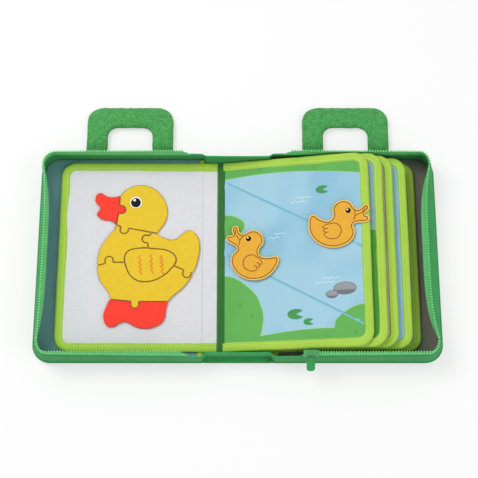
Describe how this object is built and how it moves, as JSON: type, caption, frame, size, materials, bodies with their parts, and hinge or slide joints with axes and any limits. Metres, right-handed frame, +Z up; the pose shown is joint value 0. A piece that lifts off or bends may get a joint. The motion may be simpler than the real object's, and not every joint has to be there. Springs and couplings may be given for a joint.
{
  "type": "cloth activity book",
  "caption": "Soft cloth activity book with padded pages, a lift-off puzzle and sliding felt ducks, in a zip-round case with carry handles.",
  "frame": {"origin": "middle of the spine's outer face, which lies on the table when the book is open", "axes": "+X across the open covers towards the page stack, +Y towards the handles, +Z up out of the pages"},
  "size_m": [0.45, 0.3124, 0.0514],
  "materials": {
    "case_cloth": "plain woven cloth, matte",
    "zip_tape": "ribbed woven tape",
    "zip_teeth": "moulded teeth, soft sheen",
    "zip_slider": "enamelled slider",
    "handle_webbing": "mottled padded webbing",
    "lime_tape": "folded binding tape, stitched",
    "white_cloth": "brushed cloth page",
    "pond_cloth": "printed cloth page",
    "meadow_cloth": "printed cloth page",
    "sand_cloth": "printed cloth page",
    "sky_cloth": "printed cloth page",
    "teal_lining": "lining cloth",
    "grey_lining": "lining cloth",
    "gutter_cloth": "folded cloth strip",
    "yellow_felt": "felt on foam",
    "red_felt": "felt on foam",
    "orange_felt": "stitched felt",
    "eye": "printed disc"
  },
  "bodies": {
    "spine": {"spine_panel": "case_cloth", "spine_lining": "case_cloth", "front_gusset_strip": "case_cloth", "back_gusset_strip": "case_cloth", "left_gutter_strip": "gutter_cloth", "middle_gutter_strip": "gutter_cloth", "right_gutter_strip": "gutter_cloth", "leaf_1_hem": "gutter_cloth"},
    "left_cover": {"left_cover_panel": "case_cloth", "left_cover_lining": "teal_lining", "left_lining_binding": "lime_tape", "left_gusset": "case_cloth", "left_zip_tape": "zip_tape", "left_zip_chain": "zip_teeth"},
    "left_handle": {"left_handle": "handle_webbing"},
    "right_cover": {"right_cover_panel": "case_cloth", "right_cover_lining": "grey_lining", "right_lining_binding": "lime_tape", "right_gusset": "case_cloth", "right_zip_tape": "zip_tape", "right_zip_chain": "zip_teeth"},
    "right_handle": {"right_handle": "handle_webbing"},
    "zip_slider": {"zip_slider": "zip_slider"},
    "zip_pull": {"zip_pull": "case_cloth"},
    "leaf_1": {"leaf_1_pad": "white_cloth", "leaf_1_binding": "lime_tape"},
    "leaf_2": {"leaf_2_pad": "pond_cloth", "leaf_2_binding": "lime_tape", "leaf_2_hem": "gutter_cloth"},
    "leaf_3": {"leaf_3_pad": "meadow_cloth", "leaf_3_binding": "lime_tape", "leaf_3_hem": "gutter_cloth"},
    "leaf_4": {"leaf_4_pad": "sand_cloth", "leaf_4_binding": "lime_tape", "leaf_4_hem": "gutter_cloth"},
    "leaf_5": {"leaf_5_pad": "sky_cloth", "leaf_5_binding": "lime_tape", "leaf_5_hem": "gutter_cloth"},
    "leaf_6": {"leaf_6_pad": "white_cloth", "leaf_6_binding": "lime_tape", "leaf_6_hem": "gutter_cloth"},
    "puzzle_bill": {"puzzle_bill": "red_felt"},
    "puzzle_head": {"puzzle_head": "yellow_felt", "puzzle_eye": "eye"},
    "puzzle_chest": {"puzzle_chest": "yellow_felt"},
    "puzzle_tail": {"puzzle_tail": "yellow_felt"},
    "puzzle_wing": {"puzzle_wing": "yellow_felt"},
    "puzzle_belly": {"puzzle_belly": "yellow_felt"},
    "puzzle_feet": {"puzzle_feet": "red_felt"},
    "left_felt_duck": {"left_felt_duck": "orange_felt"},
    "right_felt_duck": {"right_felt_duck": "orange_felt"}
  },
  "joints": [
    {"name": "left_cover_fold", "type": "hinge", "parent": "spine", "child": "left_cover", "pos_m": [-0.038, 0, 0.004], "axis": [0, -1, 0], "range_deg": [-90, 0]},
    {"name": "right_cover_fold", "type": "hinge", "parent": "spine", "child": "right_cover", "pos_m": [0.038, 0, 0.004], "axis": [0, 1, 0], "range_deg": [-90, 0]},
    {"name": "leaf_1_turn", "type": "hinge", "parent": "left_cover", "child": "leaf_1", "pos_m": [-0.0392, 0, 0.0076], "axis": [0, 1, 0], "range_deg": [0, 125]},
    {"name": "leaf_2_fold", "type": "hinge", "parent": "spine", "child": "leaf_2", "pos_m": [-0.0205, 0, 0.0076], "axis": [0, 1, 0], "range_deg": [-76.75, 0]},
    {"name": "leaf_3_fold", "type": "hinge", "parent": "spine", "child": "leaf_3", "pos_m": [-0.0055, 0, 0.0076], "axis": [0, 1, 0], "range_deg": [-77.61, 0]},
    {"name": "leaf_4_fold", "type": "hinge", "parent": "spine", "child": "leaf_4", "pos_m": [0.0055, 0, 0.0076], "axis": [0, 1, 0], "range_deg": [-80.52, 0]},
    {"name": "leaf_5_fold", "type": "hinge", "parent": "spine", "child": "leaf_5", "pos_m": [0.0205, 0, 0.0076], "axis": [0, 1, 0], "range_deg": [-83.21, 0]},
    {"name": "leaf_6_fold", "type": "hinge", "parent": "spine", "child": "leaf_6", "pos_m": [0.0315, 0, 0.0076], "axis": [0, 1, 0], "range_deg": [-89.53, 0]},
    {"name": "left_handle_lift", "type": "hinge", "parent": "left_cover", "child": "left_handle", "pos_m": [-0.125, 0.1207, 0.0019], "axis": [1, 0, 0], "range_deg": [0, 60]},
    {"name": "right_handle_lift", "type": "hinge", "parent": "right_cover", "child": "right_handle", "pos_m": [0.125, 0.1207, 0.0019], "axis": [1, 0, 0], "range_deg": [0, 60]},
    {"name": "zip_slide", "type": "slide", "parent": "right_cover", "child": "zip_slider", "axis": [1, 0, 0], "range_m": [0, 0.1]},
    {"name": "zip_pull_swing", "type": "hinge", "parent": "zip_slider", "child": "zip_pull", "pos_m": [0.078, -0.11971, 0.03784], "axis": [-1, 0, 0], "range_deg": [-45, 100]},
    {"name": "puzzle_bill_lift", "type": "slide", "parent": "leaf_1", "child": "puzzle_bill", "axis": [-0.0091, 0, -1], "range_m": [-0.003, 0]},
    {"name": "puzzle_head_lift", "type": "slide", "parent": "leaf_1", "child": "puzzle_head", "axis": [-0.0091, 0, -1], "range_m": [-0.003, 0]},
    {"name": "puzzle_chest_lift", "type": "slide", "parent": "leaf_1", "child": "puzzle_chest", "axis": [-0.0091, 0, -1], "range_m": [-0.003, 0]},
    {"name": "puzzle_tail_lift", "type": "slide", "parent": "leaf_1", "child": "puzzle_tail", "axis": [-0.0091, 0, -1], "range_m": [-0.003, 0]},
    {"name": "puzzle_wing_lift", "type": "slide", "parent": "leaf_1", "child": "puzzle_wing", "axis": [-0.0091, 0, -1], "range_m": [-0.003, 0]},
    {"name": "puzzle_belly_lift", "type": "slide", "parent": "leaf_1", "child": "puzzle_belly", "axis": [-0.0091, 0, -1], "range_m": [-0.003, 0]},
    {"name": "puzzle_feet_lift", "type": "slide", "parent": "leaf_1", "child": "puzzle_feet", "axis": [-0.0091, 0, -1], "range_m": [-0.003, 0]},
    {"name": "left_duck_slide", "type": "slide", "parent": "leaf_2", "child": "left_felt_duck", "axis": [0.849, -0.4889, 0.2006], "range_m": [0, 0.1]},
    {"name": "right_duck_slide", "type": "slide", "parent": "leaf_2", "child": "right_felt_duck", "axis": [0.8513, -0.4846, 0.2012], "range_m": [-0.09, 0]}
  ],
  "couplings": [
    {"joint": "leaf_2_fold", "follows": "right_cover_fold", "ratio": 0.85228},
    {"joint": "leaf_3_fold", "follows": "right_cover_fold", "ratio": 0.86175},
    {"joint": "leaf_4_fold", "follows": "right_cover_fold", "ratio": 0.89408},
    {"joint": "leaf_5_fold", "follows": "right_cover_fold", "ratio": 0.92397},
    {"joint": "leaf_6_fold", "follows": "right_cover_fold", "ratio": 0.99419}
  ]
}
